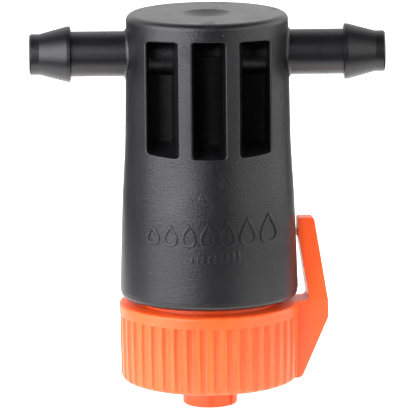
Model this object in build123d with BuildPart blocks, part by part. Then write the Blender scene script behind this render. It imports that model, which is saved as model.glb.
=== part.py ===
from build123d import *
from math import cos, radians, sin, sqrt, tan
import os

# Adjustable in-line drip emitter for 4 mm bore micro-tube.
#
# A black moulded housing carries a barbed tee near its top. A column hangs from the middle of the tee
# inside the housing, and its bore is the way down for the water. An orange cap screws into the open
# foot of the housing and carries a hollow spindle up the column. Turning the cap moves the spindle
# along the thread, which opens or closes the soft seat at the top of the column.
#
# Frame: the emitter's axis is Z, with the tip of the spout at the origin and the tee's run along X.
# All sizes are in millimetres, drawn with the cap part of a turn open.

# ---------------------------------------------------------------- driving sizes: housing
housing_height = 26.0
skirt_radius = 8.14  # outside, just above the foot
skirt_taper = 0.26  # how much the radius falls from the foot to the lower end of the flare
waist_radius = 7.52  # outside, at the upper end of the flare
crown_draft = 0.17  # how much the radius falls from the waist to the crown
crown_round = 0.6
foot_round = 0.45
foot_relief = 0.05  # the foot is turned in by this much
foot_relief_height = 0.7
flare_height = 7.2
flare_rise = 1.5  # the flare ends this far above the windows' sills
wall = 1.3
dish_radius = 2.22  # shallow moulded dish in the crown
dish_depth = 0.45
gate_radius = 0.17  # vestige of the moulding gate in the dish
gate_height = 0.07

# ---------------------------------------------------------------- driving sizes: tee
barb_span = 32.25  # tip to tip
tee_drop = 3.65  # from the crown down to the tee's axis
stem_radius = 2.06
barb_radius = 2.53
barb_land = 0.3
barb_back = 0.1  # the barb's back face leans by this much
barb_taper = 2.5
tip_radius = 1.86
tip_length = 0.9
tip_round = 0.14
run_bore_radius = 1.25
root_round = 0.32

# ---------------------------------------------------------------- driving sizes: windows
window_width = 3.07  # at the waist
window_height = 10.6
window_pitch = 4.23
window_draft = 5.0  # degrees, on all four sides of each pocket
window_corner = 0.3
window_edge = 0.12
web_thickness = 1.4  # flat web between the front and back pockets
chamber_roof = 1.3  # from the windows' sills down to the chamber

# ---------------------------------------------------------------- driving sizes: column
column_bore_radius = 2.1
column_wall = 0.65
column_recess = 1.9  # the column's mouth is this far above the foot
port_radius = 0.8
port_cover = 0.4  # left between the column's bore and the underside of the tee

# ---------------------------------------------------------------- driving sizes: cap
cap_radius = 8.24
cap_height = 7.21
cap_floor = 1.7
collar_height = 1.02
rim_round = 0.22
cap_foot_round = 0.65
cap_draft = 0.07  # how much the grip's radius falls from the collar to the foot
flute_count = 42
flute_depth = 0.3
flute_radius = 0.42
flute_inset = 0.05  # the fluted stretch is this much smaller than the collar
flute_edge = 0.07
flute_phase = 0.47  # of one flute's pitch, from the lever
boss_radius = 3.0
boss_height = 6.5  # above the cap's floor
spigot_wall = 1.1
spout_radius = 2.47
spout_length = 2.37
spout_bore_radius = 1.0
spout_mouth_radius = 1.55
spout_mouth_depth = 0.9
spout_step = 0.17  # the spout is stepped in by this much over one side
spout_step_arc = 58.0  # degrees
spout_step_lead = 4.0  # degrees, from the front round to the start of the step
spout_round = 0.2

# ---------------------------------------------------------------- driving sizes: cap lever
lever_turn = 4.6  # degrees, where the lever stands when the cap is set as drawn
lever_reach = 10.79  # axis to the lever's outer face
lever_width = 1.7  # of the blade, across its lean
lever_lean = 8.8  # degrees, the blade leans in towards the housing
lever_thickness = 3.1
lever_tip_thickness = 1.5
lever_height = 7.58  # blade, above the rim
lever_heel = 1.6  # straight stretch of the outer face below the rim
lever_foot = 0.0  # lowest point, above the cap's underside
lever_toe = 0.08  # the lever's lowest point stands this far outside the cap
lever_fillet = 0.4  # between the blade and the rim
lever_root = 0.6  # the lever runs this far into the cap
lever_gap = 0.2  # between the lever's head and the housing
lever_round = 0.3
nub_drop = 1.1  # top of the lever down to the nub
nub_height = 0.65
nub_width = 1.1
nub_clearance = 0.03  # to the housing at full open, where it is least

# ---------------------------------------------------------------- driving sizes: cap thread and travel
thread_pitch = 2.0
thread_depth = 0.35
thread_width = 0.95  # at the root
thread_crest = 0.45
thread_turns = 1.5
thread_inset = 1.2  # from the foot up to the start of the thread
thread_clearance = 0.1  # radial, crest to root
thread_run_out = 0.3
cap_gap = 0.6  # foot of the housing to the cap's rim, as drawn
close_travel = 0.5
open_travel = 1.5

# ---------------------------------------------------------------- driving sizes: spindle and seals
shaft_radius = 1.5
core_radius = 1.25
collar_clearance = 0.1
collar_length = 2.2
gland_length = 1.3
gland_flange = 0.4
running_clearance = 0.05
stop_clearance = 0.1
nose_angle = 30.0  # degrees, half angle of the cone
nose_tip_radius = 0.3
seat_height = 1.0
seat_radius = 0.75
seat_clearance = 0.03  # left at the closed stop, where the soft seat would be squeezed
outlet_bore_radius = 0.55
cross_hole_radius = 0.4
cross_hole_land = 1.1  # plain shaft between the collar and the sleeve, where the cross hole lies
sleeve_clearance = 0.4  # from the sleeve's top to the foot of the cone
groove_pitch = 1.3
groove_width = 0.6
groove_depth = 0.4
socket_depth = 0.6  # the spindle's foot is let into the cap's floor by this much
spindle_ring_section = 0.9
cap_ring_section = 1.0
ring_clearance = 0.03  # an O-ring as drawn just clears the wall that squeezes it
ring_groove_side = 0.06
ring_land = 0.45  # left between the cap's O-ring groove and the end of the spigot

# ---------------------------------------------------------------- levels along the axis
z_cap = spout_length
z_cap_floor = z_cap + cap_floor
z_boss = z_cap_floor + boss_height
z_rim = z_cap + cap_height
z_collar = z_rim - collar_height
z_foot = z_rim + cap_gap
z_crown = z_foot + housing_height
z_tee = z_crown - tee_drop
z_lintel = z_tee + stem_radius
z_sill = z_lintel - window_height
z_chamber = z_sill - chamber_roof
z_mouth = z_foot + column_recess
z_bore_end = z_tee - stem_radius - port_cover
z_flare_top = z_sill + flare_rise
z_flare_foot = z_flare_top - flare_height
z_skirt = z_foot + foot_relief_height

# thread, from the foot upwards
z_housing_thread = z_foot + thread_inset
z_cap_thread = z_housing_thread + thread_pitch / 2
z_relief = z_cap_thread + thread_turns * thread_pitch + close_travel + thread_width / 2 + thread_run_out
z_cap_ring = z_relief + open_travel + cap_ring_section / 2 + thread_run_out
z_spigot = z_cap_ring + cap_ring_section / 2 + ring_groove_side + ring_land

# ---------------------------------------------------------------- radii that follow
foot_radius = skirt_radius - foot_relief
column_radius = column_bore_radius + column_wall
shoulder_radius = skirt_radius - skirt_taper
crown_radius = waist_radius - crown_draft
thread_bore_radius = skirt_radius - wall  # root of the housing's thread
thread_minor_radius = thread_bore_radius - thread_depth
spigot_radius = thread_minor_radius - thread_clearance
spigot_thread_radius = thread_bore_radius - thread_clearance
chamber_radius = spigot_radius + running_clearance
spigot_bore_radius = spigot_radius - spigot_wall


def helical_ridge(root, crest, start, turns, pitch, root_width, crest_width):
    """A right-hand ridge of tapering section that winds once per pitch between two radii."""
    overlap = 0.1 if crest > root else -0.1
    with BuildPart(mode=Mode.PRIVATE) as ridge:
        with BuildLine(Plane.XY.offset(start)) as path:
            Helix(pitch, turns * pitch, root)
        with BuildSketch(Plane(path.line @ 0, x_dir=(1, 0, 0), z_dir=path.line % 0)):
            with BuildLine():
                Polyline(
                    (-overlap, -root_width / 2),
                    (crest - root, -crest_width / 2),
                    (crest - root, crest_width / 2),
                    (-overlap, root_width / 2),
                    close=True,
                )
            make_face()
        sweep(path=path.line, is_frenet=True)
    return ridge.part


def skirt_radius_at(level):
    """Outside radius of the housing's skirt at a level between its foot and the flare."""
    return skirt_radius - skirt_taper * (level - z_skirt) / (z_flare_foot - z_skirt)


def o_ring(name, inner, section, level):
    """O-ring of round section, resting on the bottom of its groove."""
    with BuildPart() as ring:
        with BuildSketch(Plane.XZ):
            with Locations((inner + section / 2, level)):
                Circle(section / 2)
        revolve(axis=Axis.Z)
    ring.part.label = name
    return ring.part


# ================================================================ housing
housing_thread = helical_ridge(
    thread_bore_radius,
    thread_minor_radius,
    z_housing_thread,
    thread_turns,
    thread_pitch,
    thread_width,
    thread_crest,
)

with BuildPart() as housing:
    # outside, turned from one profile
    with BuildSketch(Plane.XZ):
        with BuildLine():
            Polyline((foot_radius, z_foot), (foot_radius, z_skirt - foot_relief), (skirt_radius, z_skirt))
            Line((skirt_radius, z_skirt), (shoulder_radius, z_flare_foot))
            Spline(
                (shoulder_radius, z_flare_foot),
                (waist_radius, z_flare_top),
                tangents=((-skirt_taper, z_flare_foot - z_skirt), (-crown_draft, z_crown - z_flare_top)),
            )
            Line((waist_radius, z_flare_top), (crown_radius, z_crown))
            Polyline((crown_radius, z_crown), (0, z_crown), (0, z_foot), (foot_radius, z_foot))
        make_face()
    revolve(axis=Axis.Z)
    fillet(housing.edges().filter_by(GeomType.CIRCLE).group_by(Axis.Z)[-1], crown_round)
    fillet(housing.edges().filter_by(GeomType.CIRCLE).group_by(Axis.Z)[0], foot_round)

    # chamber for the cap's spigot, and the wider mouth that is threaded
    with BuildSketch(Plane.XY.offset(z_foot)):
        Circle(chamber_radius)
    extrude(amount=z_chamber - z_foot, mode=Mode.SUBTRACT)
    with BuildSketch(Plane.XY.offset(z_foot)):
        Circle(thread_bore_radius)
    extrude(amount=z_relief - z_foot, mode=Mode.SUBTRACT)

    # three windows on the front and three on the back, each a drafted pocket that ends at the web
    web_face = web_thickness / 2
    draft = tan(radians(window_draft))
    floor_shrink = 2 * draft * (waist_radius - web_face)
    overshoot = 1.0
    mouth_growth = 2 * draft * overshoot
    z_window = (z_lintel + z_sill) / 2
    for side in (1, -1):
        for place in (-window_pitch, 0, window_pitch):
            with BuildSketch(Plane.XZ.offset(side * web_face)):
                with Locations((place, z_window)):
                    RectangleRounded(window_width - floor_shrink, window_height - floor_shrink, window_corner)
            with BuildSketch(Plane.XZ.offset(side * (waist_radius + overshoot))):
                with Locations((place, z_window)):
                    RectangleRounded(window_width + mouth_growth, window_height + mouth_growth, window_corner)
            loft(mode=Mode.SUBTRACT)
    window_mouths = [
        edge
        for edge in housing.edges().filter_by(GeomType.CIRCLE, reverse=True)
        if sqrt(edge.center().X ** 2 + edge.center().Y ** 2) > crown_radius - 0.1
        and abs(edge.center().Y) > web_face
        and z_sill - window_corner < edge.center().Z < z_lintel + window_corner
    ]
    fillet(window_mouths, window_edge)

    # tee: the run, with a barb at each end
    tee_axis = Axis((0, 0, z_tee), (1, 0, 0))
    tip_start = barb_span / 2 - tip_length
    land_start = tip_start - barb_taper
    land_end = land_start - barb_land
    for side in (1, -1):
        with BuildSketch(Plane.XZ):
            with BuildLine():
                Polyline(
                    (0, z_tee),
                    (side * barb_span / 2, z_tee),
                    (side * barb_span / 2, z_tee + tip_radius - tip_round),
                    (side * (barb_span / 2 - tip_round), z_tee + tip_radius),
                    (side * tip_start, z_tee + tip_radius),
                    (side * land_start, z_tee + barb_radius),
                    (side * land_end, z_tee + barb_radius),
                    (side * (land_end - barb_back), z_tee + stem_radius),
                    (0, z_tee + stem_radius),
                    close=True,
                )
            make_face()
        revolve(axis=tee_axis)
    stem_roots = [
        edge
        for edge in housing.edges().filter_by(GeomType.CIRCLE, reverse=True)
        if abs(edge.center().X) > crown_radius - 0.5
        and abs(edge.center().X) < waist_radius
        and abs(edge.center().Z - z_tee) < stem_radius + 0.1
    ]
    fillet(stem_roots, root_round)

    # column through the chamber and up to the tee, then its bore and the port into the run
    with BuildSketch(Plane.XY.offset(z_mouth)):
        Circle(column_radius)
    extrude(amount=z_tee - z_mouth)
    with BuildSketch(Plane.XY.offset(z_mouth)):
        Circle(column_bore_radius)
    extrude(amount=z_bore_end - z_mouth, mode=Mode.SUBTRACT)
    with BuildSketch(Plane.XY.offset(z_bore_end)):
        Circle(port_radius)
    extrude(amount=z_tee - z_bore_end, mode=Mode.SUBTRACT)
    with BuildSketch(Plane.YZ.offset(-barb_span / 2)):
        with Locations((0, z_tee)):
            Circle(run_bore_radius)
    extrude(amount=barb_span, mode=Mode.SUBTRACT)

    # dish in the crown, with the gate's vestige standing in it
    with BuildSketch(Plane.XZ):
        with BuildLine():
            Line((0, z_crown), (dish_radius, z_crown))
            SagittaArc((dish_radius, z_crown), (-dish_radius, z_crown), dish_depth)
            Line((-dish_radius, z_crown), (0, z_crown))
        make_face()
        split(bisect_by=Plane.YZ)
    revolve(axis=Axis.Z, mode=Mode.SUBTRACT)
    with BuildSketch(Plane.XY.offset(z_crown - dish_depth - gate_height)):
        Circle(gate_radius)
    extrude(amount=2 * gate_height)

    # inside thread, one ridge standing in from the wider mouth
    add(housing_thread)
housing.part.label = "housing"


# ================================================================ seat washer
# Soft disc pressed into the end of the column's bore. The spindle's cone closes on its hole.
z_seat = z_bore_end - seat_height

with BuildPart() as seat_washer:
    with BuildSketch(Plane.XY.offset(z_seat)):
        Circle(column_bore_radius)
        Circle(seat_radius, mode=Mode.SUBTRACT)
    extrude(amount=seat_height)
seat_washer.part.label = "seat_washer"


# ================================================================ gland bush
# Pressed into the column's mouth. It guides the spindle's shaft and stops its collar at full open.
with BuildPart() as gland_bush:
    with BuildSketch(Plane.XY.offset(z_mouth)):
        Circle(column_bore_radius)
    extrude(amount=gland_length)
    with BuildSketch(Plane.XY.offset(z_mouth)):
        Circle(column_radius)
    extrude(amount=-gland_flange)
    with BuildSketch(Plane.XY.offset(z_mouth - gland_flange)):
        Circle(shaft_radius + running_clearance)
    extrude(amount=gland_flange + gland_length, mode=Mode.SUBTRACT)
gland_bush.part.label = "gland_bush"


# ================================================================ spindle
# Hollow: water enters its bore by the cross hole between collar and sleeve, and leaves at the spout.
slope = tan(radians(nose_angle))
z_nose_tip = z_seat + (seat_radius - nose_tip_radius) / slope - seat_clearance - close_travel
z_nose_foot = z_nose_tip - (core_radius - nose_tip_radius) / slope
z_collar_foot = z_mouth + gland_length + stop_clearance + open_travel
z_collar_top = z_collar_foot + collar_length
z_sleeve = z_collar_top + cross_hole_land
z_sleeve_top = z_nose_foot - sleeve_clearance
z_cross_hole = z_collar_top + cross_hole_land / 2
z_spindle_foot = z_cap_floor - socket_depth
collar_radius = column_bore_radius - collar_clearance
spindle_ring_outer = column_bore_radius - ring_clearance
spindle_ring_inner = spindle_ring_outer - spindle_ring_section
z_spindle_ring = (z_collar_foot + z_collar_top) / 2

with BuildPart() as metering_spindle:
    with BuildSketch(Plane.XZ):
        with BuildLine():
            Polyline(
                (0, z_spindle_foot),
                (shaft_radius, z_spindle_foot),
                (shaft_radius, z_collar_foot),
                (collar_radius, z_collar_foot),
                (collar_radius, z_collar_top),
                (core_radius, z_collar_top),
                (core_radius, z_nose_foot),
                (nose_tip_radius, z_nose_tip),
                (0, z_nose_tip),
                close=True,
            )
        make_face()
        groove_height = spindle_ring_section + 2 * ring_groove_side
        with Locations(((spindle_ring_inner + spindle_ring_outer) / 2, z_spindle_ring)):
            Rectangle(spindle_ring_section + 2 * ring_clearance, groove_height, mode=Mode.SUBTRACT)
    revolve(axis=Axis.Z)
    with BuildSketch(Plane.XY.offset(z_spindle_foot)):
        Circle(outlet_bore_radius)
    extrude(amount=z_cross_hole - z_spindle_foot, mode=Mode.SUBTRACT)
    with BuildSketch(Plane.XZ.offset(-core_radius * 2)):
        with Locations((0, z_cross_hole)):
            Circle(cross_hole_radius)
    extrude(amount=core_radius * 4, mode=Mode.SUBTRACT)
metering_spindle.part.label = "metering_spindle"


# ================================================================ metering sleeve
# Pressed on the spindle's core. Water loses its pressure along the groove that winds around it.
sleeve_radius = column_bore_radius - running_clearance
sleeve_length = z_sleeve_top - z_sleeve
sleeve_groove = helical_ridge(
    sleeve_radius,
    sleeve_radius - groove_depth,
    z_sleeve - groove_pitch / 2,
    sleeve_length / groove_pitch + 1,
    groove_pitch,
    groove_width,
    groove_width * 0.6,
)

with BuildPart() as metering_sleeve:
    with BuildSketch(Plane.XY.offset(z_sleeve)):
        Circle(sleeve_radius)
        Circle(core_radius, mode=Mode.SUBTRACT)
    extrude(amount=sleeve_length)
    add(sleeve_groove, mode=Mode.SUBTRACT)
metering_sleeve.part.label = "metering_sleeve"


# ================================================================ lever
# A springy blade that stands on the side of the cap. Its nub rubs on the housing and marks the setting.
turn = radians(lever_turn)
lever_side = Plane((0, 0, 0), x_dir=(cos(turn), sin(turn), 0), z_dir=(sin(turn), -cos(turn), 0))
lever_front = Plane((0, 0, 0), x_dir=(-sin(turn), cos(turn), 0), z_dir=(cos(turn), sin(turn), 0))
lean = tan(radians(lever_lean))
z_lever_top = z_rim + lever_height
head_radius = skirt_radius_at(z_lever_top) + lever_gap
blade_root = lever_reach - lever_width / cos(radians(lever_lean))
z_bend = z_rim + (blade_root - head_radius) / lean
z_nub_foot = z_lever_top - nub_drop - nub_height
nub_radius = skirt_radius_at(z_nub_foot - open_travel) + nub_clearance
root_radius = cap_radius - lever_root

with BuildPart() as lever:
    with BuildSketch(lever_side):
        with BuildLine():
            FilletPolyline(
                (root_radius, z_cap + lever_foot),
                (cap_radius + lever_toe, z_cap + lever_foot),
                (lever_reach, z_rim - lever_heel),
                (lever_reach, z_rim),
                (lever_reach - lean * lever_height, z_lever_top),
                (head_radius, z_lever_top),
                (head_radius, z_bend),
                (blade_root, z_rim),
                (root_radius, z_rim),
                radius=(0, 2 * lever_round, 2 * lever_round, 2 * lever_round, lever_round, 0.15, 0, lever_fillet, 0),
                close=True,
            )
        make_face()
    extrude(amount=lever_thickness / 2, both=True)
    with BuildSketch(lever_front):
        with BuildLine():
            Polyline(
                (-lever_thickness / 2, 0),
                (lever_thickness / 2, 0),
                (lever_thickness / 2, z_rim),
                (lever_tip_thickness / 2, z_lever_top),
                (-lever_tip_thickness / 2, z_lever_top),
                (-lever_thickness / 2, z_rim),
                close=True,
            )
        make_face()
    extrude(amount=2 * lever_reach, mode=Mode.INTERSECT)
    with BuildSketch(lever_front.offset(nub_radius)):
        with Locations((0, z_nub_foot + nub_height / 2)):
            RectangleRounded(nub_width, nub_height, nub_height / 4)
    extrude(amount=head_radius + lever_round - nub_radius)


# ================================================================ cap
# One moulding: fluted grip, spout, threaded spigot, the spindle's socket and the lever.
fluted_radius = cap_radius - flute_inset
cap_foot_radius = fluted_radius - cap_draft
cap_ring_outer = chamber_radius - ring_clearance
cap_ring_inner = cap_ring_outer - cap_ring_section
cap_thread = helical_ridge(
    spigot_radius,
    spigot_thread_radius,
    z_cap_thread,
    thread_turns,
    thread_pitch,
    thread_width,
    thread_crest,
)

with BuildPart() as cap:
    # grip, fluted up to the collar, then turned down to its rounded outline
    with BuildSketch(Plane.XY.offset(z_cap)) as grip_outline:
        Circle(fluted_radius)
        with PolarLocations(
            fluted_radius - flute_depth + flute_radius,
            flute_count,
            start_angle=lever_turn + flute_phase * 360 / flute_count,
        ):
            Circle(flute_radius, mode=Mode.SUBTRACT)
        fillet(grip_outline.vertices(), flute_edge)
    extrude(amount=z_collar - z_cap)
    with BuildSketch(Plane.XY.offset(z_collar)):
        Circle(cap_radius)
    extrude(amount=collar_height)
    with BuildSketch(Plane.XZ):
        with BuildLine():
            Line((0, z_cap), (cap_foot_radius - cap_foot_round, z_cap))
            RadiusArc(
                (cap_foot_radius - cap_foot_round, z_cap),
                (cap_foot_radius, z_cap + cap_foot_round),
                -cap_foot_round,
            )
            Line((cap_foot_radius, z_cap + cap_foot_round), (cap_radius, z_collar))
            Line((cap_radius, z_collar), (cap_radius, z_rim - rim_round))
            RadiusArc((cap_radius, z_rim - rim_round), (cap_radius - rim_round, z_rim), -rim_round)
            Polyline((cap_radius - rim_round, z_rim), (0, z_rim), (0, z_cap))
        make_face()
    revolve(axis=Axis.Z, mode=Mode.INTERSECT)
    add(lever.part)

    # spigot, with a hollow inside and the spindle's socket in the middle
    with BuildSketch(Plane.XY.offset(z_rim)):
        Circle(spigot_radius)
    extrude(amount=z_spigot - z_rim)
    with BuildSketch(Plane.XY.offset(z_cap_floor)):
        Circle(spigot_bore_radius)
        Circle(boss_radius, mode=Mode.SUBTRACT)
    extrude(amount=z_spigot - z_cap_floor, mode=Mode.SUBTRACT)
    with BuildSketch(Plane.XY.offset(z_boss)):
        Circle(spigot_bore_radius)
    extrude(amount=z_spigot - z_boss, mode=Mode.SUBTRACT)
    with BuildSketch(Plane.XY.offset(z_spindle_foot)):
        Circle(shaft_radius)
    extrude(amount=z_boss - z_spindle_foot, mode=Mode.SUBTRACT)

    # O-ring groove near the top of the spigot
    with BuildSketch(Plane.XY.offset(z_cap_ring)):
        Circle(spigot_radius + 0.1)
        Circle(cap_ring_inner - ring_clearance, mode=Mode.SUBTRACT)
    extrude(amount=cap_ring_section / 2 + ring_groove_side, both=True, mode=Mode.SUBTRACT)

    # spout, stepped in on one side, and the way out through it
    with BuildSketch(Plane.XY):
        Circle(spout_radius)
    extrude(amount=spout_length)
    spout_edge = cap.edges().filter_by(GeomType.CIRCLE).group_by(Axis.Z)[0]
    fillet(spout_edge, spout_round)
    with BuildSketch(Plane.XY):
        with BuildLine():
            step_start = -90 - spout_step_lead
            step_arc = CenterArc((0, 0), 2 * spout_radius, step_start, spout_step_arc)
            Polyline(step_arc @ 1, (0, 0), step_arc @ 0)
        make_face()
        Circle(spout_radius - spout_step, mode=Mode.SUBTRACT)
    extrude(amount=spout_length - spout_step, mode=Mode.SUBTRACT)
    with BuildSketch(Plane.XY):
        Circle(spout_bore_radius)
    extrude(amount=z_spindle_foot, mode=Mode.SUBTRACT)
    with BuildSketch(Plane.XY):
        Circle(spout_mouth_radius)
    with BuildSketch(Plane.XY.offset(spout_mouth_depth)):
        Circle(spout_bore_radius)
    loft(mode=Mode.SUBTRACT)

    # outside thread, half a pitch above the housing's
    add(cap_thread)
cap.part.label = "cap"

spindle_o_ring = o_ring("spindle_o_ring", spindle_ring_inner, spindle_ring_section, z_spindle_ring)
cap_o_ring = o_ring("cap_o_ring", cap_ring_inner, cap_ring_section, z_cap_ring)


# ================================================================ output
os.makedirs("parts", exist_ok=True)
pieces = (
    housing.part,
    seat_washer.part,
    gland_bush.part,
    metering_spindle.part,
    metering_sleeve.part,
    spindle_o_ring,
    cap_o_ring,
    cap.part,
)
for piece in pieces:
    export_step(piece, f"parts/{piece.label}.step")
    print(piece.label, round(piece.volume, 2), "mm3", len(piece.solids()), "solid")
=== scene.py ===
from math import cos, pi, radians, sin

import bpy
from mathutils import Matrix, Vector


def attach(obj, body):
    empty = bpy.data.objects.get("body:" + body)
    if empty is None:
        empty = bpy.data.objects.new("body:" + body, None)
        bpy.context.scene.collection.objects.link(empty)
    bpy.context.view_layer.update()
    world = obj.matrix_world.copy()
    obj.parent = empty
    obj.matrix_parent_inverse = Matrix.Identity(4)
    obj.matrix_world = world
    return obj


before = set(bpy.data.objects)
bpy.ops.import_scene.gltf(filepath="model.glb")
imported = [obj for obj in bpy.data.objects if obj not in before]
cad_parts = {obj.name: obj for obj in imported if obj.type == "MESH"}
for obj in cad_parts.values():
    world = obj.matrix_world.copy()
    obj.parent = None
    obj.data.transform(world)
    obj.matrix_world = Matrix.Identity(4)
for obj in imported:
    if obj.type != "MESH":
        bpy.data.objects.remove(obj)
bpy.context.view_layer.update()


# ================================================================ housing
# The body of the emitter: one moulding in black polypropylene, with the barbed tee, the windows
# and the thread all in it. The tool was spark eroded, so the outside has a fine even grain with a
# satin gloss. The melt leaves faint flow marks in it, and handling leaves specks and rubs.
MM = 0.001


def new_group(name, inputs, outputs):
    """A shader node group with number inputs and number outputs."""
    group = bpy.data.node_groups.new(name, "ShaderNodeTree")
    for label, value in inputs.items():
        socket = group.interface.new_socket(label, in_out="INPUT", socket_type="NodeSocketFloat")
        socket.default_value = value
    for label in outputs:
        group.interface.new_socket(label, in_out="OUTPUT", socket_type="NodeSocketFloat")
    return group


def add_node(tree, kind, settings=None, values=None):
    """A node with its settings and its unlinked socket values."""
    node = tree.nodes.new(kind)
    for key, value in (settings or {}).items():
        setattr(node, key, value)
    for key, value in (values or {}).items():
        node.inputs[key].default_value = value
    return node


def remap(tree, source, low_in, high_in, low_out, high_out):
    """Stretches a number from one range to another, and returns the socket."""
    node = add_node(
        tree,
        "ShaderNodeMapRange",
        {"clamp": True},
        {"From Min": low_in, "From Max": high_in, "To Min": low_out, "To Max": high_out},
    )
    tree.links.new(source, node.inputs["Value"])
    return node.outputs["Result"]


def math_node(tree, operation, first, second):
    """Two numbers or sockets combined, and the socket that comes out."""
    node = add_node(tree, "ShaderNodeMath", {"operation": operation})
    for place, value in enumerate((first, second)):
        if isinstance(value, (int, float)):
            node.inputs[place].default_value = value
        else:
            tree.links.new(value, node.inputs[place])
    return node.outputs["Value"]


def make_grain():
    """Grain from the tool: a fine pebble height, and slow patches where it is a little duller."""
    pebble_coarseness = 0.55
    pebble_share = 0.45
    group = new_group("tool_grain", {"Fineness": 8000.0, "Patches": 260.0}, ("Height", "Patch"))
    link = group.links.new
    given = group.nodes.new("NodeGroupInput")
    out = group.nodes.new("NodeGroupOutput")
    place = group.nodes.new("ShaderNodeTexCoord")
    fine = add_node(group, "ShaderNodeTexNoise", values={"Detail": 3.0, "Roughness": 0.62})
    pebble = add_node(group, "ShaderNodeTexVoronoi", {"feature": "SMOOTH_F1"}, {"Smoothness": 0.7})
    patch = add_node(group, "ShaderNodeTexNoise", values={"Detail": 4.0, "Roughness": 0.55})
    link(place.outputs["Object"], fine.inputs["Vector"])
    link(place.outputs["Object"], pebble.inputs["Vector"])
    link(place.outputs["Object"], patch.inputs["Vector"])
    link(given.outputs["Fineness"], fine.inputs["Scale"])
    pebble_scale = math_node(group, "MULTIPLY", given.outputs["Fineness"], pebble_coarseness)
    link(pebble_scale, pebble.inputs["Scale"])
    link(given.outputs["Patches"], patch.inputs["Scale"])
    pebble_height = remap(group, pebble.outputs["Distance"], 0.0, 0.8, 0.0, pebble_share)
    link(math_node(group, "ADD", fine.outputs["Fac"], pebble_height), out.inputs["Height"])
    link(remap(group, patch.outputs["Fac"], 0.3, 0.7, 0.0, 1.0), out.inputs["Patch"])
    return group


def make_flow():
    """Flow marks: soft streaks along Z, the way the melt ran from the gate to the far end."""
    group = new_group("flow_marks", {"Across": 420.0, "Along": 45.0}, ("Streak",))
    link = group.links.new
    given = group.nodes.new("NodeGroupInput")
    out = group.nodes.new("NodeGroupOutput")
    place = group.nodes.new("ShaderNodeTexCoord")
    stretch = group.nodes.new("ShaderNodeCombineXYZ")
    scaled = add_node(group, "ShaderNodeVectorMath", {"operation": "MULTIPLY"})
    streak = add_node(
        group,
        "ShaderNodeTexNoise",
        values={"Scale": 1.0, "Detail": 5.0, "Distortion": 0.6},
    )
    link(given.outputs["Across"], stretch.inputs["X"])
    link(given.outputs["Across"], stretch.inputs["Y"])
    link(given.outputs["Along"], stretch.inputs["Z"])
    link(place.outputs["Object"], scaled.inputs[0])
    link(stretch.outputs["Vector"], scaled.inputs[1])
    link(scaled.outputs["Vector"], streak.inputs["Vector"])
    link(remap(group, streak.outputs["Fac"], 0.32, 0.68, 0.0, 1.0), out.inputs["Streak"])
    return group


def make_specks():
    """Specks of dust and lint: a few small dots, one in some cells and none in the others."""
    group = new_group("dust_specks", {"Spacing": 900.0, "Dot": 0.07, "Share": 0.3}, ("Speck",))
    link = group.links.new
    given = group.nodes.new("NodeGroupInput")
    out = group.nodes.new("NodeGroupOutput")
    place = group.nodes.new("ShaderNodeTexCoord")
    cells = group.nodes.new("ShaderNodeTexVoronoi")
    split = group.nodes.new("ShaderNodeSeparateColor")
    link(place.outputs["Object"], cells.inputs["Vector"])
    link(given.outputs["Spacing"], cells.inputs["Scale"])
    link(cells.outputs["Color"], split.inputs["Color"])
    near = math_node(group, "LESS_THAN", cells.outputs["Distance"], given.outputs["Dot"])
    chosen = math_node(group, "LESS_THAN", split.outputs["Red"], given.outputs["Share"])
    link(math_node(group, "MULTIPLY", near, chosen), out.inputs["Speck"])
    return group


def make_rubs():
    """Rubs: thin curved lines where the piece has slid against others in a bag."""
    fade_fineness = 3.1
    group = new_group("rub_lines", {"Spread": 140.0, "Line": 0.006}, ("Rub",))
    link = group.links.new
    given = group.nodes.new("NodeGroupInput")
    out = group.nodes.new("NodeGroupOutput")
    place = group.nodes.new("ShaderNodeTexCoord")
    lines = add_node(group, "ShaderNodeTexNoise", values={"Detail": 1.0, "Distortion": 1.4})
    faded = add_node(group, "ShaderNodeTexNoise", values={"Detail": 2.0})
    link(place.outputs["Object"], lines.inputs["Vector"])
    link(place.outputs["Object"], faded.inputs["Vector"])
    link(given.outputs["Spread"], lines.inputs["Scale"])
    faded_scale = math_node(group, "MULTIPLY", given.outputs["Spread"], fade_fineness)
    link(faded_scale, faded.inputs["Scale"])
    from_middle = math_node(group, "SUBTRACT", lines.outputs["Fac"], 0.5)
    off_line = math_node(group, "ABSOLUTE", from_middle, 0.0)
    on_line = math_node(group, "LESS_THAN", off_line, given.outputs["Line"])
    shown = remap(group, faded.outputs["Fac"], 0.5, 0.62, 0.0, 1.0)
    link(math_node(group, "MULTIPLY", on_line, shown), out.inputs["Rub"])
    return group


grain_group = make_grain()
flow_group = make_flow()
speck_group = make_specks()
rub_group = make_rubs()


def place_group(tree, group, **values):
    """The group placed in a material with its own values."""
    node = tree.nodes.new("ShaderNodeGroup")
    node.node_tree = group
    for key, value in values.items():
        node.inputs[key].default_value = value
    return node


def mix_colour(tree, mask, first, second, amount=1.0):
    """A colour between two others, by a mask."""
    node = tree.nodes.new("ShaderNodeMix")
    node.data_type = "RGBA"
    if amount != 1.0:
        mask = math_node(tree, "MULTIPLY", mask, amount)
    tree.links.new(mask, node.inputs["Factor"])
    for key, value in (("A", first), ("B", second)):
        socket = [s for s in node.inputs if s.name == key and s.type == "RGBA"][0]
        if isinstance(value, tuple):
            socket.default_value = (*value, 1.0)
        else:
            tree.links.new(value, socket)
    return [s for s in node.outputs if s.type == "RGBA"][0]


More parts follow.
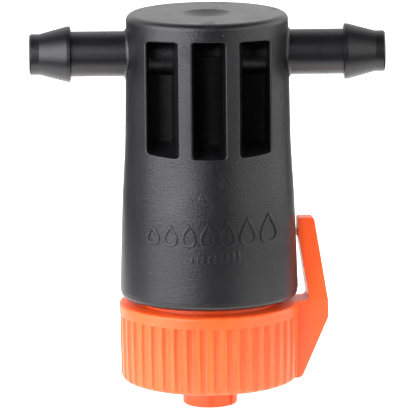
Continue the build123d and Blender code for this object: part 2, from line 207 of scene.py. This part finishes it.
def moulded(
    name,
    deep,
    light,
    dust,
    dull,
    shiny,
    fineness=7000.0,
    patches=260.0,
    across=420.0,
    along=45.0,
    grain_depth=0.006,
    grain_strength=0.35,
    dust_amount=0.35,
    rub_line=0.006,
    sheen=None,
):
    """A moulded surface: deep to light by flow marks and patches, with specks, rubs and a grain."""
    rub_dullness = 0.12
    material = bpy.data.materials.new(name)
    material.use_nodes = True
    tree = material.node_tree
    link = tree.links.new
    shader = tree.nodes["Principled BSDF"]
    grain = place_group(tree, grain_group, Fineness=fineness, Patches=patches)
    flow = place_group(tree, flow_group, Across=across, Along=along)
    speck = place_group(tree, speck_group)
    rub = place_group(tree, rub_group, Line=rub_line)
    marks = math_node(tree, "ADD", flow.outputs["Streak"], grain.outputs["Patch"])
    blend = math_node(tree, "MULTIPLY", marks, 0.5)
    colour = mix_colour(tree, blend, deep, light)
    colour = mix_colour(tree, speck.outputs["Speck"], colour, dust, dust_amount)
    link(colour, shader.inputs["Base Color"])
    rough = remap(tree, blend, 0.0, 1.0, shiny, dull)
    rubbed = math_node(tree, "MULTIPLY", rub.outputs["Rub"], rub_dullness)
    rough = math_node(tree, "ADD", rough, rubbed)
    link(rough, shader.inputs["Roughness"])
    bump = add_node(
        tree,
        "ShaderNodeBump",
        values={"Strength": grain_strength, "Distance": grain_depth * MM},
    )
    link(grain.outputs["Height"], bump.inputs["Height"])
    link(bump.outputs["Normal"], shader.inputs["Normal"])
    for key, value in (sheen or {}).items():
        shader.inputs[key].default_value = value
    return material


def wear(node, material):
    """Gives a CAD node its material."""
    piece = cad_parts[node]
    piece.data.materials.clear()
    piece.data.materials.append(material)
    return piece


def start_clean():
    """Nothing selected, object mode."""
    if bpy.context.mode != "OBJECT":
        bpy.ops.object.mode_set(mode="OBJECT")
    bpy.ops.object.select_all(action="DESELECT")


housing_deep = (0.0030, 0.0030, 0.0036)
housing_light = (0.0055, 0.0054, 0.0063)
housing_dust = (0.22, 0.21, 0.20)

housing_look = moulded(
    "black_polypropylene",
    housing_deep,
    housing_light,
    housing_dust,
    dull=0.37,
    shiny=0.31,
    fineness=10000.0,
    grain_depth=0.022,
    grain_strength=0.9,
)
housing = wear("housing", housing_look)


# ================================================================ drops on the housing
# A row of seven raised drops, from small to large, on the front of the housing. They were cut in
# its tool and are moulded with it, and say that the flow can be set from small to large.
drop_count = 7
drop_stroke = 0.25 * MM
drop_width_first = 1.24 * MM
drop_width_last = 1.66 * MM
drop_height_first = 1.75 * MM
drop_height_last = 2.85 * MM
drop_gap = 0.30 * MM
drop_foot = 16.0 * MM
drop_relief = 0.08 * MM
drop_row_middle = 0.2 * MM
drop_facets = 36
drop_pull = 0.8  # of its width, how far the point draws the circle with it
mark_standoff = 12.0 * MM
mark_sink = 0.25 * MM
mark_edge = 0.25  # of the relief
mark_corner = radians(50)
mark_smooth = radians(35)


def lay_on_housing(name, relief):
    """Joins what is selected, lays it on the housing's front and runs its sides into the wall."""
    bpy.ops.object.join()
    piece = bpy.context.object
    piece.name = name
    bpy.ops.object.transform_apply(location=True, rotation=True, scale=True)
    wrap = piece.modifiers.new("wrap", "SHRINKWRAP")
    wrap.wrap_method = "PROJECT"
    wrap.wrap_mode = "ABOVE_SURFACE"
    wrap.use_project_x = False
    wrap.use_project_y = True
    wrap.use_project_z = False
    wrap.use_positive_direction = True
    wrap.use_negative_direction = False
    wrap.target = housing
    wrap.offset = relief
    bpy.ops.object.modifier_apply(modifier="wrap")
    bpy.ops.object.mode_set(mode="EDIT")
    bpy.ops.mesh.select_mode(type="EDGE")
    bpy.ops.mesh.select_all(action="DESELECT")
    bpy.ops.mesh.select_non_manifold()
    bpy.ops.mesh.extrude_region_move(TRANSFORM_OT_translate={"value": (0, mark_sink, 0)})
    bpy.ops.object.mode_set(mode="OBJECT")
    soften = piece.modifiers.new("soften", "BEVEL")
    soften.width = relief * mark_edge
    soften.segments = 2
    soften.limit_method = "ANGLE"
    soften.angle_limit = mark_corner
    bpy.ops.object.modifier_apply(modifier="soften")
    bpy.ops.object.shade_smooth_by_angle(angle=mark_smooth)
    bpy.context.scene.cursor.location = (0, 0, 0)
    bpy.ops.object.origin_set(type="ORIGIN_CURSOR")
    return piece


start_clean()
drops = []
drop_sizes = []
for index in range(drop_count):
    share = index / (drop_count - 1)
    width = drop_width_first + share * (drop_width_last - drop_width_first)
    height = drop_height_first + share * (drop_height_last - drop_height_first)
    drop_sizes.append((width, height))
row_width = sum(width for width, height in drop_sizes) + drop_gap * (drop_count - 1)
drop_edge = drop_row_middle - row_width / 2
for width, height in drop_sizes:
    bpy.ops.object.select_all(action="DESELECT")
    bpy.ops.mesh.primitive_circle_add(
        vertices=drop_facets,
        radius=width / 2,
        fill_type="NGON",
        location=(drop_edge + width / 2, -mark_standoff, drop_foot + width / 2),
        rotation=(pi / 2, 0, 0),
    )
    drop = bpy.context.object
    bpy.ops.object.transform_apply(location=True, rotation=True, scale=True)
    top_index = max(drop.data.vertices, key=lambda v: v.co.z).index
    bpy.ops.object.mode_set(mode="EDIT")
    bpy.ops.mesh.select_mode(type="VERT")
    bpy.ops.mesh.select_all(action="DESELECT")
    bpy.ops.object.mode_set(mode="OBJECT")
    drop.data.vertices[top_index].select = True
    bpy.ops.object.mode_set(mode="EDIT")
    bpy.ops.transform.translate(
        value=(0, 0, height - width),
        use_proportional_edit=True,
        proportional_edit_falloff="SHARP",
        proportional_size=width * drop_pull,
    )
    bpy.ops.mesh.select_mode(type="FACE")
    bpy.ops.mesh.select_all(action="SELECT")
    bpy.ops.mesh.inset(thickness=drop_stroke)
    bpy.ops.mesh.delete(type="FACE")
    bpy.ops.mesh.select_all(action="SELECT")
    bpy.ops.mesh.subdivide(number_cuts=1)
    bpy.ops.object.mode_set(mode="OBJECT")
    drops.append(drop)
    drop_edge += width + drop_gap

for drop in drops:
    drop.select_set(True)
bpy.context.view_layer.objects.active = drops[0]
flow_drops = lay_on_housing("flow_drops", drop_relief)
flow_drops.data.materials.append(housing_look)
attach(flow_drops, "housing_body")


# ================================================================ scale on the housing
# A short row of raised ticks under the drops, each a little taller than the one before.
# They are moulded with the housing and stand lower, because the lever's nub passes over them.
tick_count = 9
tick_width = 0.28 * MM
tick_pitch = 0.53 * MM
tick_first = 0.45 * MM
tick_last = 1.10 * MM
tick_foot = 14.6 * MM
tick_relief = 0.045 * MM
tick_row_middle = 0.45 * MM
tick_corner = 0.3  # of the width

start_clean()
ticks = []
for index in range(tick_count):
    share = index / (tick_count - 1)
    height = tick_first + share * (tick_last - tick_first)
    tick_x = tick_row_middle + (index - (tick_count - 1) / 2) * tick_pitch
    bpy.ops.mesh.primitive_plane_add(
        size=1.0,
        location=(tick_x, -mark_standoff, tick_foot + height / 2),
        rotation=(pi / 2, 0, 0),
    )
    tick = bpy.context.object
    tick.scale = (tick_width, height, 1)
    bpy.ops.object.transform_apply(location=True, rotation=True, scale=True)
    bpy.ops.object.mode_set(mode="EDIT")
    bpy.ops.mesh.select_all(action="SELECT")
    bpy.ops.mesh.bevel(offset=tick_width * tick_corner, segments=2, affect="VERTICES")
    bpy.ops.object.mode_set(mode="OBJECT")
    ticks.append(tick)

bpy.ops.object.select_all(action="DESELECT")
for tick in ticks:
    tick.select_set(True)
bpy.context.view_layer.objects.active = ticks[0]
flow_ticks = lay_on_housing("flow_ticks", tick_relief)
flow_ticks.data.materials.append(housing_look)
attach(flow_ticks, "housing_body")


# ================================================================ seat washer
# Soft rubber disc at the end of the column's bore, which the spindle's cone closes on.
# It is punched from sheet rubber and pushed in, and keeps a dusting of talc from the sheet.
seat_washer_deep = (0.018, 0.018, 0.018)
seat_washer_light = (0.034, 0.033, 0.032)
seat_washer_talc = (0.30, 0.29, 0.27)

seat_washer_look = moulded(
    "seat_rubber",
    seat_washer_deep,
    seat_washer_light,
    seat_washer_talc,
    dull=0.78,
    shiny=0.66,
    fineness=12000.0,
    grain_depth=0.012,
    dust_amount=0.5,
)
wear("seat_washer", seat_washer_look)


# ================================================================ gland bush
# Black plastic bush, turned on a lathe, so its marks run round it and not along it.
# It is pressed into the column's mouth, where it guides the spindle and stops it coming out.
gland_bush_deep = (0.020, 0.020, 0.022)
gland_bush_light = (0.034, 0.034, 0.037)
gland_bush_dust = (0.22, 0.21, 0.20)

gland_bush_look = moulded(
    "black_bush_plastic",
    gland_bush_deep,
    gland_bush_light,
    gland_bush_dust,
    dull=0.44,
    shiny=0.30,
    across=60.0,
    along=5200.0,
    grain_depth=0.004,
)
wear("gland_bush", gland_bush_look)


# ================================================================ metering spindle
# Hollow spindle moulded in natural acetal, which is off-white and a little waxy, so light sinks
# into it. It is pressed into the cap and goes up and down with it.
acetal_sheen = {"Subsurface Weight": 0.25, "Subsurface Scale": 1.2 * MM}
metering_spindle_deep = (0.66, 0.645, 0.595)
metering_spindle_light = (0.76, 0.75, 0.71)
metering_spindle_dirt = (0.38, 0.36, 0.33)

metering_spindle_look = moulded(
    "natural_acetal",
    metering_spindle_deep,
    metering_spindle_light,
    metering_spindle_dirt,
    dull=0.40,
    shiny=0.26,
    grain_depth=0.003,
    dust_amount=0.4,
    sheen=acetal_sheen,
)
wear("metering_spindle", metering_spindle_look)


# ================================================================ metering sleeve
# Acetal sleeve with the spiral groove that the water winds down and loses its pressure in.
# It is moulded and slid on to the spindle's top, from another batch, so a shade warmer.
metering_sleeve_deep = (0.60, 0.575, 0.50)
metering_sleeve_light = (0.71, 0.69, 0.63)
metering_sleeve_dirt = (0.35, 0.33, 0.30)

metering_sleeve_look = moulded(
    "acetal_sleeve",
    metering_sleeve_deep,
    metering_sleeve_light,
    metering_sleeve_dirt,
    dull=0.46,
    shiny=0.32,
    grain_depth=0.003,
    dust_amount=0.4,
    sheen=acetal_sheen,
)
wear("metering_sleeve", metering_sleeve_look)


# ================================================================ spindle O-ring
# Small ring moulded in nitrile rubber, in the groove of the spindle's collar.
# It is lightly greased so that the spindle turns and slides, which makes it shinier.
spindle_o_ring_deep = (0.014, 0.014, 0.014)
spindle_o_ring_light = (0.026, 0.026, 0.026)
spindle_o_ring_dust = (0.24, 0.23, 0.21)

spindle_o_ring_look = moulded(
    "greased_nitrile",
    spindle_o_ring_deep,
    spindle_o_ring_light,
    spindle_o_ring_dust,
    dull=0.46,
    shiny=0.26,
    fineness=14000.0,
    grain_depth=0.003,
    dust_amount=0.3,
)
wear("spindle_o_ring", spindle_o_ring_look)


# ================================================================ cap O-ring
# Larger ring moulded in nitrile rubber, in the groove of the cap's spigot.
# It is fitted dry and a little dull, as its friction is what keeps the cap where it is set.
cap_o_ring_deep = (0.015, 0.015, 0.015)
cap_o_ring_light = (0.030, 0.029, 0.028)
cap_o_ring_dust = (0.26, 0.25, 0.23)

cap_o_ring_look = moulded(
    "nitrile",
    cap_o_ring_deep,
    cap_o_ring_light,
    cap_o_ring_dust,
    dull=0.62,
    shiny=0.44,
    fineness=14000.0,
    grain_depth=0.004,
    dust_amount=0.3,
)
wear("cap_o_ring", cap_o_ring_look)


# ================================================================ cap
# Orange polypropylene moulding that screws into the housing: fluted grip, spigot, spout and the
# springy lever in one. The tool was smooth, so the cap has next to no grain, and light sinks a
# little way into it.
cap_deep = (0.85, 0.086, 0.011)
cap_light = (0.93, 0.111, 0.016)
cap_dust = (0.95, 0.62, 0.48)

cap_look = moulded(
    "orange_polypropylene",
    cap_deep,
    cap_light,
    cap_dust,
    dull=0.42,
    shiny=0.32,
    fineness=6000.0,
    across=300.0,
    along=60.0,
    grain_depth=0.004,
    grain_strength=0.3,
    dust_amount=0.25,
    sheen={
        "Subsurface Weight": 0.5,
        "Subsurface Radius": (1.0, 0.25, 0.08),
        "Subsurface Scale": 1.5 * MM,
    },
)
wear("cap", cap_look)


# ================================================================ studio
# Pale floor, lit a little from within like a light table, with a soft box on the left and a wider
# one on the right. The gap between them is the dark band down the middle of the black housing.
# The top and low lights don't show in the gloss, and the sky is bright only behind the emitter.
floor_width = 0.085
floor_front = 0.030
floor_length = 0.6
floor_deep = (0.90, 0.90, 0.90)
floor_light = (0.93, 0.93, 0.93)
floor_glow = 0.75

start_clean()
bpy.ops.mesh.primitive_plane_add(size=1.0, location=(0, floor_length / 2 - floor_front, 0))
floor = bpy.context.object
floor.name = "floor"
floor.scale = (floor_width, floor_length, 1)
bpy.ops.object.transform_apply(location=True, rotation=True, scale=True)
floor_look = bpy.data.materials.new("pale_floor")
floor_look.use_nodes = True
floor_tree = floor_look.node_tree
floor_noise = add_node(floor_tree, "ShaderNodeTexNoise", values={"Scale": 30.0, "Detail": 3.0})
floor_place = floor_tree.nodes.new("ShaderNodeTexCoord")
floor_tree.links.new(floor_place.outputs["Object"], floor_noise.inputs["Vector"])
floor_colour = mix_colour(floor_tree, floor_noise.outputs["Fac"], floor_deep, floor_light)
floor_shader = floor_tree.nodes["Principled BSDF"]
floor_tree.links.new(floor_colour, floor_shader.inputs["Base Color"])
floor_shader.inputs["Roughness"].default_value = 0.9
floor_shader.inputs["Specular IOR Level"].default_value = 0.1
floor_shader.inputs["Emission Color"].default_value = (1.0, 1.0, 1.0, 1.0)
floor_shader.inputs["Emission Strength"].default_value = floor_glow
floor.data.materials.append(floor_look)

view_height = 18.12 * MM
box_distance = 0.13
box_elevation = 18
box_height = 0.13


def soft_box(name, azimuth, elevation, distance, width, height, radiance):
    """A rectangular light that faces the emitter; azimuth 0 is in front and 90 is on its right."""
    a, e = radians(azimuth), radians(elevation)
    back = Vector((sin(a) * cos(e), -cos(a) * cos(e), sin(e)))
    data = bpy.data.lights.new(name, "AREA")
    data.shape = "RECTANGLE"
    data.size = width
    data.size_y = height
    data.energy = radiance * pi * width * height
    box = bpy.data.objects.new(name, data)
    box.location = Vector((0, 0, view_height)) + back * distance
    box.rotation_euler = (-back).to_track_quat("-Z", "Y").to_euler()
    box.visible_camera = False
    bpy.context.scene.collection.objects.link(box)
    return box


box_left = soft_box(
    "box_left",
    azimuth=-51,
    elevation=box_elevation,
    distance=box_distance,
    width=0.175,
    height=box_height,
    radiance=6.1,
)
box_left.data.color = (0.95, 0.945, 1.0)
soft_box(
    "box_side",
    azimuth=-105,
    elevation=box_elevation,
    distance=box_distance,
    width=0.11,
    height=box_height,
    radiance=0.8,
)
soft_box(
    "box_right",
    azimuth=80,
    elevation=box_elevation,
    distance=box_distance,
    width=0.31,
    height=box_height,
    radiance=2.15,
)
box_top = soft_box(
    "box_top",
    azimuth=0,
    elevation=89,
    distance=0.80,
    width=1.20,
    height=1.20,
    radiance=1.6,
)
box_top.visible_glossy = False
fill_low = soft_box(
    "fill_low",
    azimuth=0,
    elevation=3,
    distance=0.25,
    width=0.30,
    height=0.05,
    radiance=2.0,
)
fill_low.visible_glossy = False

sky_dark = (0.035, 0.035, 0.035)
sky_bright = (1.14, 1.14, 1.15)
sky_plain = (1.02, 1.02, 1.02)
sky_tilt = 0.6
sky_start = 0.74
sky_end = 1.02
world = bpy.data.worlds.new("studio")
bpy.context.scene.world = world
world.use_nodes = True
sky = world.node_tree
sky_place = sky.nodes.new("ShaderNodeTexCoord")
sky_parts = sky.nodes.new("ShaderNodeSeparateXYZ")
sky.links.new(sky_place.outputs["Generated"], sky_parts.inputs["Vector"])
sky_height = math_node(sky, "MULTIPLY", sky_parts.outputs["Z"], sky_tilt)
sky_back = math_node(sky, "ADD", sky_parts.outputs["Y"], sky_height)
sky_mask = remap(sky, sky_back, sky_start, sky_end, 0.0, 1.0)
sky_colour = mix_colour(sky, sky_mask, sky_dark, sky_bright)
sky_rays = sky.nodes.new("ShaderNodeLightPath")
sky_shown = mix_colour(sky, sky_rays.outputs["Is Camera Ray"], sky_colour, sky_plain)
sky.links.new(sky_shown, sky.nodes["Background"].inputs["Color"])
sky.nodes["Background"].inputs["Strength"].default_value = 1.0


# ================================================================ camera
# A long lens, aimed at the emitter's middle from a little above and almost square to the tee.
# It is far enough away that the two barbs look the same size.
camera_distance = 0.43929
camera_elevation = radians(11.0)
camera_yaw = radians(1.0)
camera_roll = radians(0.5)
camera_lens = 417.4
camera_sensor = 36.0
camera_shift_x = -0.0025
camera_shift_y = 0.0024

camera_data = bpy.data.cameras.new("camera")
camera_data.sensor_width = camera_sensor
camera_data.lens = camera_lens
camera_data.shift_x = camera_shift_x
camera_data.shift_y = camera_shift_y
camera_data.clip_start = 0.01
camera_data.clip_end = 50.0
camera = bpy.data.objects.new("camera", camera_data)
camera.location = (
    -camera_distance * cos(camera_elevation) * sin(camera_yaw),
    -camera_distance * cos(camera_elevation) * cos(camera_yaw),
    view_height + camera_distance * sin(camera_elevation),
)
turned = Matrix.Rotation(-camera_yaw, 4, "Z")
tilted = Matrix.Rotation(pi / 2 - camera_elevation, 4, "X")
rolled = Matrix.Rotation(-camera_roll, 4, "Z")
camera.rotation_euler = (turned @ tilted @ rolled).to_euler()
bpy.context.scene.collection.objects.link(camera)
bpy.context.scene.camera = camera
bpy.context.scene.view_settings.view_transform = "Standard"
